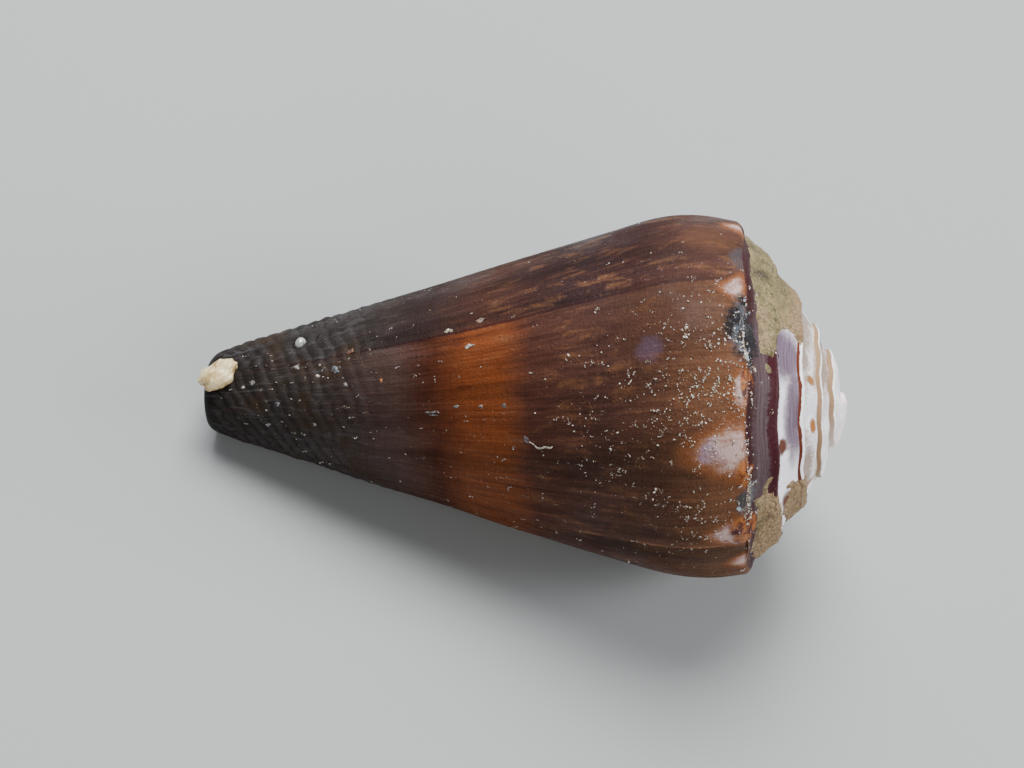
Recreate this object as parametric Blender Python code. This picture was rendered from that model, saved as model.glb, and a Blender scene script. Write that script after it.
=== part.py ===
"""A cone shell lying on its aperture, with a cream growth stuck on its narrow end.

The shell is one sheet coiled on a spiral. A point of it is named by its turn, which is 0 at the
outer lip and negative towards the apex, and by its place along the whorl, from the suture over the
shoulder and down the side to the narrow tip. The living chamber is the space between the last whorl
and the one before it, and opens in the long slot beside the lip.
"""

import math

import bmesh
import bpy
import numpy as np
from mathutils import Matrix, Vector

MM = 0.001
LENGTH = 42.0 * MM  # from the narrow tip to the apex

# The shoulder: its radius and its distance below the apex are exponentials of a quadratic in turns.
SHOULDER_RADIUS = 12.40 * MM  # at the lip
RADIUS_GROWTH = (0.165, -0.027)
SHOULDER_DROP = 7.58 * MM  # below the apex, at the lip
DROP_GROWTH = (0.25, -0.045)
SPIRE_TURNS = 5.5
NUCLEUS_TURNS = 1.0  # the first of them opens from a point
NUCLEUS_SHARPNESS = 0.95
NODULES = 12  # weak knobs on the shoulder in each turn
NODULE_HEIGHT = 0.10 * MM

# The side: a straight cone that rounds over below the shoulder.
TIP_RADIUS = 2.62 * MM
SIDE_SLOPE = 0.30
ROUNDING_START = 28.5 * MM
ROUNDING = 42.0  # radius lost per metre squared beyond ROUNDING_START
SIDE_LENGTH = 35.4 * MM
TIP_EDGE = 0.35 * MM  # radius lost where the tip's rim rounds over
TIP_RECESS = 1.2 * MM  # how far the rim is cut back at the lip and inside
LIP_FLARE = 0.35 * MM
LIP_SPAN = 0.15  # turns over which the whorl flares and thins to the lip's edge
HIDDEN_SPAN = (0.85, 1.05)  # turns before the lip over which the outside goes into the chamber
LINE_SKEW = 0.05  # turns by which growth lines lag at the tip

# The ramp between the suture and the shoulder.
RAMP_ROWS = (0.25, 0.5, 0.75)
CHANNEL_DEPTH = 0.40 * MM
CHANNEL_BIAS = 1.3  # above 1, the channel is deepest nearer the shoulder
EDGE_INSET = 0.12 * MM

# Spiral ribs around the narrow end.
RIBS = 9
RIB_SPACING = 0.0235  # as a share of the side
RIB_START = 0.04
RIB_HEIGHT = 0.07 * MM
RIB_SLANT = 0.9
RIB_MIDDLE = -0.5  # the turn at which each rib stands at its own place
RIB_REACH = (-0.5, 0.7)  # turns from there over which the ribs slant

# The wall and the living chamber.
CHAMBER_TURNS = 40 / 36
WALL = 0.90 * MM
TIP_WALL = 0.40 * MM
LIP_WALL = 0.50 * MM
ROOF = 1.05 * MM
ROOF_ROWS = (0.35, 0.7)
INNER_NARROWING = 1.0 * MM
INNER_TAPER = 0.35 * MM  # more for each turn beyond TAPER_START
TAPER_START = 1.1

# The mesh: columns in each turn, and rows along the side as shares of it, from shoulder to tip.
COLUMNS = 36
LIP_ANGLE = math.radians(-70.0)
UPPER_ROWS = (0.990, 0.973, 0.956, 0.93, 0.885, 0.81, 0.72, 0.62, 0.52, 0.42, 0.34)
RIM_ROWS = (0.018, 0.006, 0.0)
CHAMBER_ROWS = (1.0, 0.93, 0.82, 0.68, 0.54, 0.40, 0.28, 0.18, 0.09, 0.0)

# The cream growth on the tip.
GROWTH_PLACE = 0.95 * MM  # from the tip, along the axis
GROWTH_ANGLE = math.radians(98.0)
GROWTH_HALF = (1.55 * MM, 1.02 * MM, 0.72 * MM)
GROWTH_TURN = math.radians(38.0)
GROWTH_SEAT = 0.35  # how deep the pad sits, as a share of its half thickness
GROWTH_LOBES = ((0.13, 3.0, 0.6), (0.08, 5.0, 1.7), (0.05, 8.0, 4.1))  # height, count, phase
GAP = 0.30 * MM

# The search for the resting pose starts from the aperture side down.
FIRST_ROLL = math.radians(-95.0)
FIRST_TILT = math.radians(15.0)
FIRST_STEP = math.radians(8.0)
LAST_STEP = 1e-7


def smooth(x, low, high):
    """0 below low, 1 above high, and an S curve between them."""
    s = min(max((x - low) / (high - low), 0.0), 1.0)
    return s * s * (3.0 - 2.0 * s)


def near_lip(turn):
    """0 on most of the whorl, rising to 1 at the lip's edge."""
    return smooth(turn, -LIP_SPAN, 0.0)


def hidden(turn):
    """0 on the outside of the last whorl, 1 where its earlier part lies in the chamber."""
    return smooth(-turn, *HIDDEN_SPAN)


def quadratic_growth(size, growth, turn):
    """size at turn 0, times the exponential of the quadratic growth in turns."""
    return size * math.exp(growth[0] * turn + growth[1] * turn * turn)


def opening(turn):
    """How far the nucleus has opened at this turn: 0 at the apex, 1 from its end on."""
    return min(max((turn + SPIRE_TURNS) / NUCLEUS_TURNS, 0.0), 1.0) ** NUCLEUS_SHARPNESS


def shoulder_radius(turn):
    full = max(turn, NUCLEUS_TURNS - SPIRE_TURNS)
    flare = LIP_FLARE * near_lip(turn)
    return quadratic_growth(SHOULDER_RADIUS, RADIUS_GROWTH, full) * opening(turn) + flare


def shoulder_place(turn):
    """The shoulder's distance from the tip, along the axis."""
    full = max(turn, NUCLEUS_TURNS - SPIRE_TURNS)
    drop = quadratic_growth(SHOULDER_DROP, DROP_GROWTH, full) * opening(turn)
    size = shoulder_radius(turn) / SHOULDER_RADIUS
    nodule = NODULE_HEIGHT * size * math.cos(2.0 * math.pi * NODULES * turn)
    return LENGTH - drop + nodule


def side_profile(share):
    """The side's radius at this share of its length, for a whorl of the reference size."""
    along = share * SIDE_LENGTH
    rounded = max(along - ROUNDING_START, 0.0)
    rim = max(1.0 - share / RIM_ROWS[0], 0.0) ** 2
    return TIP_RADIUS + SIDE_SLOPE * along - ROUNDING * rounded * rounded - TIP_EDGE * rim


def rim_recess(turn):
    """How far the tip's rim is cut back: a little at the lip, and more inside the shell."""
    return TIP_RECESS * max(0.6 * near_lip(turn), hidden(turn))


def narrowing(turn):
    """The inner whorls are slimmer at the tip than the outer one, which leaves the canal open."""
    return INNER_NARROWING * hidden(turn) + INNER_TAPER * max(-turn - TAPER_START, 0.0)


def side_point(turn, share):
    """Distance from the tip and radius, on the outside of the whorl."""
    rim = rim_recess(turn)
    place = rim + share * (shoulder_place(turn) - rim)
    scale = shoulder_radius(turn) / side_profile(1.0)
    return place, side_profile(share) * scale - narrowing(turn) * (1.0 - share)


def spin(turn, place, radius):
    """The point at this turn: X runs from the tip to the apex, which is the axis of the coil."""
    angle = LIP_ANGLE - 2.0 * math.pi * turn
    return Vector((place, radius * math.cos(angle), radius * math.sin(angle)))


def slanted(turn, share):
    """A row's share of the side where ribs run aslant: rows creep to the tip as the shell grows."""
    lag = min(max(RIB_MIDDLE - turn, RIB_REACH[0]), RIB_REACH[1])
    return share + RIB_SLANT * lag * share * (1.0 - share) ** 2


def rib_rows():
    """Rows from the last rib to the first, at each crest and each valley: share and rib height."""
    for half in range(2 * RIBS, -1, -1):
        crest = 0.5 - 0.5 * math.cos(math.pi * half)
        yield RIB_START + half * RIB_SPACING / 2.0, RIB_HEIGHT * crest


def outer_point(turn, share, height):
    """A point of the outside of a whorl, on the growth line of this turn."""
    turn = turn - LINE_SKEW * (1.0 - share)
    place, radius = side_point(turn, slanted(turn, share))
    return spin(turn, place, radius + height * (1.0 - hidden(turn)))


def ramp_point(turn, share, suture):
    """A point between the suture and the shoulder, sunk in a shallow channel."""
    place = shoulder_place(turn)
    radius = shoulder_radius(turn) - EDGE_INSET * shoulder_radius(turn) / SHOULDER_RADIUS
    across = Vector((suture.y, suture.z)).length
    sag = CHANNEL_DEPTH * radius / SHOULDER_RADIUS * math.sin(math.pi * share ** CHANNEL_BIAS)
    along = suture.x + (place - suture.x) * share
    return spin(turn, along - sag, across + (radius - across) * share)


def wall(turn, share):
    """The wall's thickness: thin at the lip's edge and at the tip."""
    full = WALL + (LIP_WALL - WALL) * near_lip(turn)
    return full + (TIP_WALL - full) * (1.0 - share) ** 3


def inner_point(turn, share):
    """A point of the inside of the last whorl's wall."""
    turn = turn - LINE_SKEW * (1.0 - share)
    rim = rim_recess(turn)
    place = rim + share * (shoulder_place(turn) - ROOF - rim)
    outer = (place - rim) / (shoulder_place(turn) - rim)
    return spin(turn, place, side_point(turn, outer)[1] - wall(turn, share))


def join_chains(bm, one, other):
    """Faces between two chains of vertices that may differ in number and may share an end."""
    i = j = 0
    while i < len(one) - 1 or j < len(other) - 1:
        step_one = (i + 1) / (len(one) - 1) <= (j + 1) / (len(other) - 1)
        if j == len(other) - 1 or (step_one and i < len(one) - 1):
            corners = (one[i], other[j], one[i + 1])
            i += 1
        else:
            corners = (one[i], other[j], other[j + 1])
            j += 1
        if len(set(corners)) == 3:
            bm.faces.new(corners)


def join_columns(bm, grid, columns, rows):
    """Faces between neighbouring columns and rows of a grid of vertices."""
    for column in columns:
        for row in rows:
            corners = [grid[column, row], grid[column, row + 1]]
            corners += [grid[column + 1, row + 1], grid[column + 1, row]]
            unlike = list(dict.fromkeys(corners))
            if len(unlike) > 2:
                bm.faces.new(unlike)


def face_outward(bm):
    """Triangles that all face out of the closed mesh."""
    bmesh.ops.triangulate(bm, faces=bm.faces[:])
    bmesh.ops.recalc_face_normals(bm, faces=bm.faces[:])
    if bm.calc_volume(signed=True) < 0.0:
        bmesh.ops.reverse_faces(bm, faces=bm.faces[:])


def shell_mesh():
    """The whole shell as one closed mesh, with its coiling axis along X."""
    bm = bmesh.new()
    last = round(SPIRE_TURNS * COLUMNS)
    lip = last - COLUMNS  # the column one turn before the lip, where the outside goes in
    end = last - round(CHAMBER_TURNS * COLUMNS)  # the column where the chamber ends
    shoulder = len(RAMP_ROWS) + 1
    cover = shoulder + 1  # the row that the next whorl's suture follows
    foot = cover + 2  # the row where the chamber's roof meets the whorl before
    sides = [(share, 0.0) for share in UPPER_ROWS]
    sides += list(rib_rows())
    sides += [(share, 0.0) for share in RIM_ROWS]
    tip = shoulder + len(sides)
    apex = bm.verts.new((LENGTH, 0.0, 0.0))

    grid = {}
    for column in range(last + 1):
        turn = column / COLUMNS - SPIRE_TURNS
        if column == 0:
            for row in range(cover + 1):
                grid[column, row] = apex
            continue
        grid[column, 0] = apex if column <= COLUMNS else grid[column - COLUMNS, cover]
        for row, share in enumerate((*RAMP_ROWS, 1.0), 1):
            point = ramp_point(turn, share, grid[column, 0].co)
            grid[column, row] = bm.verts.new(point)
        for row, (share, height) in enumerate(sides, shoulder + 1):
            if row == cover or column >= lip or (column >= end - COLUMNS and row >= foot):
                grid[column, row] = bm.verts.new(outer_point(turn, share, height))
    join_columns(bm, grid, range(last), range(cover))
    join_columns(bm, grid, range(lip, last), range(cover, foot))
    join_columns(bm, grid, range(end - COLUMNS, last), range(foot, tip))

    # The chamber's roof and outer wall, from the whorl before to the tip.
    inside = {}
    for column in range(end, last + 1):
        turn = column / COLUMNS - SPIRE_TURNS
        start = grid[column - COLUMNS, foot]
        corner = inner_point(turn, 1.0)
        inside[column, 0] = start
        across = math.hypot(start.co.y, start.co.z)
        reach = math.hypot(corner.y, corner.z)
        for row, share in enumerate(ROOF_ROWS, 1):
            place = start.co.x + (corner.x - start.co.x) * share
            point = spin(turn, place, across + (reach - across) * share)
            inside[column, row] = bm.verts.new(point)
        for row, share in enumerate(CHAMBER_ROWS, len(ROOF_ROWS) + 1):
            inside[column, row] = bm.verts.new(inner_point(turn, share))
    depth = len(ROOF_ROWS) + len(CHAMBER_ROWS)
    join_columns(bm, inside, range(end, last), range(depth))

    # The lip's edge, the chamber's far end, the wall's edge at the tip and the core's end.
    outer_lip = [grid[last, row] for row in range(tip + 1)]
    inner_lip = [grid[lip, row] for row in range(cover, foot)]
    inner_lip += [inside[last, row] for row in range(depth + 1)]
    join_chains(bm, outer_lip, inner_lip)
    far_wall = [inside[end, row] for row in range(depth + 1)]
    join_chains(bm, far_wall, [grid[end - COLUMNS, row] for row in range(foot, tip + 1)])
    rim = [grid[column, tip] for column in range(end, last + 1)]
    join_chains(bm, rim, [inside[column, depth] for column in range(end, last + 1)])
    core = [grid[column, tip] for column in range(end - COLUMNS, end + 1)]
    core.append(inside[end, depth])
    middle = bm.verts.new((TIP_RECESS + GAP, 0.0, 0.0))
    for one, other in zip(core, core[1:] + core[:1]):
        bm.faces.new((one, other, middle))

    face_outward(bm)
    return bm


def growth_mesh():
    """The cream growth: a lobed pad laid on the tip with a small gap under it."""
    bm = bmesh.new()
    bmesh.ops.create_icosphere(bm, subdivisions=3, radius=1.0)
    turn = (LIP_ANGLE - GROWTH_ANGLE) / (2.0 * math.pi)
    share = GROWTH_PLACE / SIDE_LENGTH
    seat = side_point(turn, share)[1] + GAP + GROWTH_SEAT * GROWTH_HALF[2]
    for vert in bm.verts:
        x, y, z = vert.co
        around = math.atan2(y, x)
        lobes = sum(height * math.sin(n * around + phase) for height, n, phase in GROWTH_LOBES)
        size = 1.0 + lobes * math.hypot(x, y)
        along, across = x * size * GROWTH_HALF[0], y * size * GROWTH_HALF[1]
        place = GROWTH_PLACE + along * math.cos(GROWTH_TURN) - across * math.sin(GROWTH_TURN)
        aside = along * math.sin(GROWTH_TURN) + across * math.cos(GROWTH_TURN)
        here = (place - rim_recess(turn)) / SIDE_LENGTH
        floor = side_profile(max(here, 0.0)) * shoulder_radius(turn) / side_profile(1.0)
        radius = max(seat + z * size * GROWTH_HALF[2], floor + GAP)
        angle = GROWTH_ANGLE - aside / seat
        vert.co = (place, radius * math.cos(angle), radius * math.sin(angle))
    face_outward(bm)
    return bm


def centre_of_mass(bm):
    """The centroid of the solid inside a closed triangle mesh."""
    corners = np.array([[vert.co[:] for vert in face.verts] for face in bm.faces])
    volumes = np.einsum("ij,ij->i", corners[:, 0], np.cross(corners[:, 1], corners[:, 2])) / 6.0
    return (corners.sum(1) / 4.0 * volumes[:, None]).sum(0) / volumes.sum()


def resting_turn(points, centre):
    """The rotation that lays the shell down: down is where the centre of mass stands lowest."""

    def down(roll, tilt):
        level = math.cos(tilt)
        return np.array((-math.sin(tilt), level * math.cos(roll), level * math.sin(roll)))

    def height(roll, tilt):
        return ((points - centre) @ down(roll, tilt)).max()

    roll, tilt, step = FIRST_ROLL, FIRST_TILT, FIRST_STEP
    lowest = height(roll, tilt)
    while step > LAST_STEP:
        moves = [(step * math.cos(a), step * math.sin(a)) for a in np.arange(16) * math.pi / 8]
        tries = [(height(roll + x, tilt + y), roll + x, tilt + y) for x, y in moves]
        best = min(tries)
        if best[0] < lowest:
            lowest, roll, tilt = best
        else:
            step *= 0.5
    up = -Vector(down(roll, tilt))
    ahead = Vector((1.0, 0.0, 0.0)) - up * up.x
    ahead.normalize()
    return Matrix((ahead, up.cross(ahead), up))


def material(name, colour, roughness):
    made = bpy.data.materials.new(name)
    made.use_nodes = True
    shader = made.node_tree.nodes["Principled BSDF"]
    shader.inputs["Base Color"].default_value = (*colour, 1.0)
    shader.inputs["Roughness"].default_value = roughness
    shader.inputs["Metallic"].default_value = 0.0
    return made


def add_object(name, bm, finish):
    mesh = bpy.data.meshes.new(name)
    bm.to_mesh(mesh)
    bm.free()
    mesh.materials.append(finish)
    mesh.shade_smooth()
    mesh.set_sharp_from_angle(angle=math.radians(40.0))
    made = bpy.data.objects.new(name, mesh)
    bpy.context.scene.collection.objects.link(made)
    return made


def main():
    for old in list(bpy.data.objects):
        bpy.data.objects.remove(old)
    shell = shell_mesh()
    growth = growth_mesh()
    points = np.array([vert.co[:] for vert in (*shell.verts, *growth.verts)])
    turned = resting_turn(points, centre_of_mass(shell))
    laid = points @ np.array(turned).T
    low, high = laid.min(0), laid.max(0)
    foot = Vector(((low[0] + high[0]) / 2.0, (low[1] + high[1]) / 2.0, low[2]))
    place = Matrix.Translation(-foot) @ turned.to_4x4()
    shell.transform(place)
    growth.transform(place)
    add_object("shell", shell, material("shell_brown", (0.20, 0.07, 0.03), 0.35))
    add_object("tip_growth", growth, material("growth_cream", (0.80, 0.68, 0.42), 0.45))


main()
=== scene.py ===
import math

import bpy
import numpy as np
from mathutils import Matrix, Vector


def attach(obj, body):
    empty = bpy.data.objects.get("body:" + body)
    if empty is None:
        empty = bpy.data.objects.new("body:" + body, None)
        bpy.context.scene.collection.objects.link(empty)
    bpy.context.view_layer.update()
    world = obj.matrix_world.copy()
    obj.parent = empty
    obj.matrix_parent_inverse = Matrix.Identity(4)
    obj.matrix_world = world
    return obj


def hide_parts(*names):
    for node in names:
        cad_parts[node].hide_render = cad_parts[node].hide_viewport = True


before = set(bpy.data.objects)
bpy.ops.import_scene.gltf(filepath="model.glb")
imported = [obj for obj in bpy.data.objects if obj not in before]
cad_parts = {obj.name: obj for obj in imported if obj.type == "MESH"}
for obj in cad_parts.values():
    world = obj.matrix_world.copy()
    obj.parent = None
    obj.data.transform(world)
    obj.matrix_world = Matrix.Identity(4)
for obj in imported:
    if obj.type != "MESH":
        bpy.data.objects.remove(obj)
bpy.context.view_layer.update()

MM = 0.001

# The camera looks down on the shell's back from its narrow end's side, turned so that the shell
# lies level in the picture. The floor is a plain pale sheet, lit by wide soft lamps.
VIEW_HEADING = math.radians(8.0)
VIEW_ELEVATION = math.radians(48.0)
VIEW_ROLL = math.radians(17.2)
VIEW_ANGLE = math.radians(28.0)
VIEW_DISTANCE = 0.1335
VIEW_CENTRE = Vector((0.0, 0.0, 10.5 * MM))
VIEW_ASIDE = (-0.74 * MM, -1.13 * MM)

ahead = Vector((math.sin(VIEW_HEADING) * math.cos(VIEW_ELEVATION),
                math.cos(VIEW_HEADING) * math.cos(VIEW_ELEVATION),
                -math.sin(VIEW_ELEVATION)))
level = Vector((math.cos(VIEW_HEADING), -math.sin(VIEW_HEADING), 0.0))
upright = level.cross(ahead)
view_right = level * math.cos(VIEW_ROLL) + upright * math.sin(VIEW_ROLL)
view_up = upright * math.cos(VIEW_ROLL) - level * math.sin(VIEW_ROLL)
eye = VIEW_CENTRE - ahead * VIEW_DISTANCE + view_right * VIEW_ASIDE[0] + view_up * VIEW_ASIDE[1]
camera = bpy.data.objects.new("camera", bpy.data.cameras.new("camera"))
camera.data.sensor_width = 36.0
camera.data.lens = 0.5 * camera.data.sensor_width / math.tan(0.5 * VIEW_ANGLE)
camera.data.clip_start = 1.0 * MM
camera.matrix_world = Matrix.Translation(eye) @ Matrix((view_right, view_up, -ahead)).transposed().to_4x4()
bpy.context.scene.collection.objects.link(camera)
bpy.context.scene.camera = camera


class Nodes:
    """A node tree with short calls: values may be plain numbers, colours or other nodes' sockets."""

    def __init__(self, tree):
        self.tree = tree

    def put(self, kind, values=(), **settings):
        """Adds a node, sets its properties, then fills or links its inputs by name or number."""
        made = self.tree.nodes.new(kind)
        for name, value in settings.items():
            setattr(made, name, value)
        for name, value in dict(values).items():
            self.fill(made.inputs[name], value)
        return made

    def fill(self, socket, value):
        if isinstance(value, bpy.types.NodeSocket):
            self.tree.links.new(value, socket)
        elif isinstance(value, (tuple, list)) and len(value) == 3 and socket.type == "RGBA":
            socket.default_value = (*value, 1.0)
        else:
            socket.default_value = value

    def math(self, operation, *values):
        made = self.put("ShaderNodeMath", enumerate(values), operation=operation)
        return made.outputs[0]

    def times(self, *values):
        return self.math("MULTIPLY", *values)

    def plus(self, *values):
        return self.math("ADD", *values)

    def minus(self, *values):
        return self.math("SUBTRACT", *values)

    def near(self, value, middle, inner, outer):
        """1 within inner of the middle, 0 further off than outer."""
        return self.step(self.math("ABSOLUTE", self.minus(value, middle)), inner, outer, 1.0, 0.0)

    def layers(self, base, *layers):
        """The base colour with each (mask, colour) laid over it in turn."""
        for mask, colour in layers:
            base = self.mix(mask, base, colour)
        return base

    def vector(self, operation, *values):
        made = self.put("ShaderNodeVectorMath", enumerate(values), operation=operation)
        return made.outputs["Value" if operation in ("DOT_PRODUCT", "LENGTH") else "Vector"]

    def combine(self, x, y, z=0.0):
        return self.put("ShaderNodeCombineXYZ", {"X": x, "Y": y, "Z": z}).outputs[0]

    def step(self, value, low, high, bottom=0.0, top=1.0):
        """bottom below low, top above high, and an S curve between them."""
        values = {"Value": value, "From Min": low, "From Max": high, "To Min": bottom, "To Max": top}
        return self.put("ShaderNodeMapRange", values, interpolation_type="SMOOTHSTEP").outputs[0]

    def mix(self, share, one, other, blend="MIX"):
        made = self.put("ShaderNodeMix", data_type="RGBA", blend_type=blend)
        for place, value in zip((0, 6, 7), (share, one, other)):
            self.fill(made.inputs[place], value)
        return made.outputs[2]

    def ramp(self, value, stops, ease="LINEAR"):
        """A colour ramp from (place, colour) stops."""
        made = self.put("ShaderNodeValToRGB", {"Fac": value})
        elements = made.color_ramp.elements
        made.color_ramp.interpolation = ease
        while len(elements) < len(stops):
            elements.new(1.0)
        for element, (place, colour) in zip(elements, stops):
            element.position = place
            element.color = (*colour, 1.0)
        return made.outputs[0]

    def noise(self, vector, scale, detail=3.0, rough=0.55, bent=0.0):
        values = {"Vector": vector, "Scale": scale, "Detail": detail, "Roughness": rough, "Distortion": bent}
        return self.put("ShaderNodeTexNoise", values).outputs[0]

    def specks(self, vector, scale, randomness=1.0):
        """Distance to the nearest of many scattered points."""
        values = {"Vector": vector, "Scale": scale, "Randomness": randomness}
        return self.put("ShaderNodeTexVoronoi", values).outputs["Distance"]

    def bump(self, shader, strength, distance, height):
        made = self.put("ShaderNodeBump", {"Strength": strength, "Distance": distance, "Height": height})
        self.fill(shader.inputs["Normal"], made.outputs[0])


def new_material(name, colour, roughness, **sockets):
    """A material whose shader has these uniform values; returns it, its nodes and its shader."""
    made = bpy.data.materials.new(name)
    made.use_nodes = True
    shader = made.node_tree.nodes["Principled BSDF"]
    shader.inputs["Base Color"].default_value = (*colour, 1.0)
    shader.inputs["Roughness"].default_value = roughness
    for socket, value in sockets.items():
        shader.inputs[socket.replace("_", " ")].default_value = value
    return made, Nodes(made.node_tree), shader


def add_lamp(name, place, size, power, colour):
    lamp = bpy.data.lights.new(name, "AREA")
    lamp.shape = "RECTANGLE"
    lamp.size, lamp.size_y = size
    lamp.energy = power
    lamp.color = colour
    made = bpy.data.objects.new(name, lamp)
    made.location = place
    made.rotation_euler = (Vector((0.0, 0.0, 8.0 * MM)) - Vector(place)).to_track_quat("-Z", "Y").to_euler()
    bpy.context.scene.collection.objects.link(made)


FLOOR_HALF = 0.6
floor_mesh = bpy.data.meshes.new("floor")
floor_corners = [(x * FLOOR_HALF, y * FLOOR_HALF, 0.0) for x, y in ((-1, -1), (1, -1), (1, 1), (-1, 1))]
floor_mesh.from_pydata(floor_corners, [], [(0, 1, 2, 3)])
floor_finish, _, _ = new_material("floor_pale", (0.32, 0.335, 0.34), 0.8, Specular_IOR_Level=0.2)
floor_mesh.materials.append(floor_finish)
floor = bpy.data.objects.new("floor", floor_mesh)
bpy.context.scene.collection.objects.link(floor)
add_lamp("sky_behind", (-0.10, 0.30, 0.26), (0.34, 0.20), 0.8, (0.92, 0.96, 1.0))
add_lamp("sky_above", (-0.04, 0.14, 0.37), (0.24, 0.24), 3.2, (1.0, 0.99, 0.97))
add_lamp("fill_front", (0.16, -0.30, 0.22), (0.22, 0.18), 0.75, (1.0, 0.96, 0.92))
add_lamp("window_right", (0.36, -0.02, 0.20), (0.16, 0.16), 1.5, (0.97, 0.98, 1.0))
world = bpy.data.worlds.new("soft_room")
world.use_nodes = True
world.node_tree.nodes["Background"].inputs[0].default_value = (0.80, 0.86, 0.95, 1.0)
world.node_tree.nodes["Background"].inputs[1].default_value = 0.20
bpy.context.scene.world = world

# The shell: aragonite laid down in one coiled sheet, brown to orange outside and porcelain inside.
# A turn is 0 at the outer lip and negative towards the apex; the ramp runs from the suture out to
# the shoulder, and the side from the shoulder down to the narrow tip.
LENGTH = 42.0 * MM
SHOULDER_RADIUS = 12.40 * MM
RADIUS_GROWTH = (0.165, -0.027)
SHOULDER_DROP = 7.58 * MM
DROP_GROWTH = (0.25, -0.045)
SPIRE_TURNS = 5.5
NUCLEUS_TURNS = 1.0
NUCLEUS_SHARPNESS = 0.95
NODULES = 12
NODULE_HEIGHT = 0.10 * MM
TIP_RADIUS = 2.62 * MM
SIDE_SLOPE = 0.30
ROUNDING_START = 28.5 * MM
ROUNDING = 42.0
SIDE_LENGTH = 35.4 * MM
TIP_EDGE = 0.35 * MM
TIP_EDGE_SHARE = 0.018
TIP_RECESS = 1.2 * MM
LIP_FLARE = 0.35 * MM
LIP_SPAN = 0.15
HIDDEN_SPAN = (0.85, 1.05)
LINE_SKEW = 0.05
CHANNEL_DEPTH = 0.40 * MM
CHANNEL_BIAS = 1.3
EDGE_INSET = 0.12 * MM
EDGE_ROUNDING = 0.36 * MM
SUTURE_COVER = 0.010  # the share of the side that the next whorl's suture leaves uncovered
ROOF_FOOT = 0.044  # and where the chamber's roof meets it
WALL = 0.90 * MM
TIP_WALL = 0.40 * MM
LIP_WALL = 0.50 * MM
ROOF = 1.05 * MM
INNER_NARROWING = 1.0 * MM
INNER_TAPER = 0.35 * MM
TAPER_START = 1.1
CHAMBER_TURNS = 40 / 36
LIP_ANGLE = math.radians(-70.0)
REST_TILT = math.radians(15.214)
REST_ROLL = math.radians(-104.200)

# The coil's axis and the two directions across it, as the shell lies in the frame.
rest_up = Vector((math.sin(REST_TILT),
                  -math.cos(REST_TILT) * math.cos(REST_ROLL),
                  -math.cos(REST_TILT) * math.sin(REST_ROLL)))
rest_ahead = (Vector((1.0, 0.0, 0.0)) - rest_up * rest_up.x).normalized()
REST = np.array(Matrix((rest_ahead, rest_up.cross(rest_ahead), rest_up)))
cad_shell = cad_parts["shell"]
cad_points = np.array([corner.co[:] for corner in cad_shell.data.vertices])
APEX = cad_points[np.argmax(cad_points @ REST[:, 0])]


def smooth(x, low, high):
    """0 below low, 1 above high, and an S curve between them."""
    s = np.clip((x - low) / (high - low), 0.0, 1.0)
    return s * s * (3.0 - 2.0 * s)


def ripple(u, w, waves, seed):
    """Random sine waves over (u, w) added up, about one high: wave numbers near one in u and w."""
    rng = np.random.default_rng(seed)
    total = 0.0
    for a, b, phase in zip(rng.normal(size=waves), rng.normal(size=waves), rng.uniform(0, 6.28, waves)):
        total = total + np.sin(a * u + b * w + phase)
    return total / math.sqrt(waves)


def opening(turn):
    """How far the nucleus has opened: 0 at the apex, 1 from its end on."""
    return np.clip((turn + SPIRE_TURNS) / NUCLEUS_TURNS, 0.0, 1.0) ** NUCLEUS_SHARPNESS


def grown(size, growth, turn):
    """The size at the lip times the exponential of a quadratic in turns, opening from a point."""
    full = np.maximum(turn, NUCLEUS_TURNS - SPIRE_TURNS)
    return size * np.exp(growth[0] * full + growth[1] * full * full) * opening(turn)


def shoulder_radius(turn):
    return grown(SHOULDER_RADIUS, RADIUS_GROWTH, turn) + LIP_FLARE * smooth(turn, -LIP_SPAN, 0.0)


def shoulder_place(turn):
    """The shoulder's distance from the tip: the length, less its drop, with weak knobs."""
    knob = NODULE_HEIGHT * shoulder_radius(turn) / SHOULDER_RADIUS * np.cos(2 * np.pi * NODULES * turn)
    return LENGTH - grown(SHOULDER_DROP, DROP_GROWTH, turn) + knob


def side_profile(share):
    """A straight cone, less a square beyond where it rounds over, and less at the tip's rim."""
    along = share * SIDE_LENGTH
    rounded = np.maximum(along - ROUNDING_START, 0.0)
    rim = np.maximum(1.0 - share / TIP_EDGE_SHARE, 0.0) ** 2
    return TIP_RADIUS + SIDE_SLOPE * along - ROUNDING * rounded * rounded - TIP_EDGE * rim


def rim_recess(turn):
    return TIP_RECESS * np.maximum(0.6 * smooth(turn, -LIP_SPAN, 0.0), smooth(-turn, *HIDDEN_SPAN))


def narrowing(turn):
    return INNER_NARROWING * smooth(-turn, *HIDDEN_SPAN) + INNER_TAPER * np.maximum(-turn - TAPER_START, 0.0)


def side_point(turn, share):
    """Distance from the tip and radius of the whorl's outside, share 0 at the tip, 1 at the shoulder."""
    rim = rim_recess(turn)
    place = rim + share * (shoulder_place(turn) - rim)
    scale = shoulder_radius(turn) / side_profile(1.0)
    return place, side_profile(share) * scale - narrowing(turn) * (1.0 - share)


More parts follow.
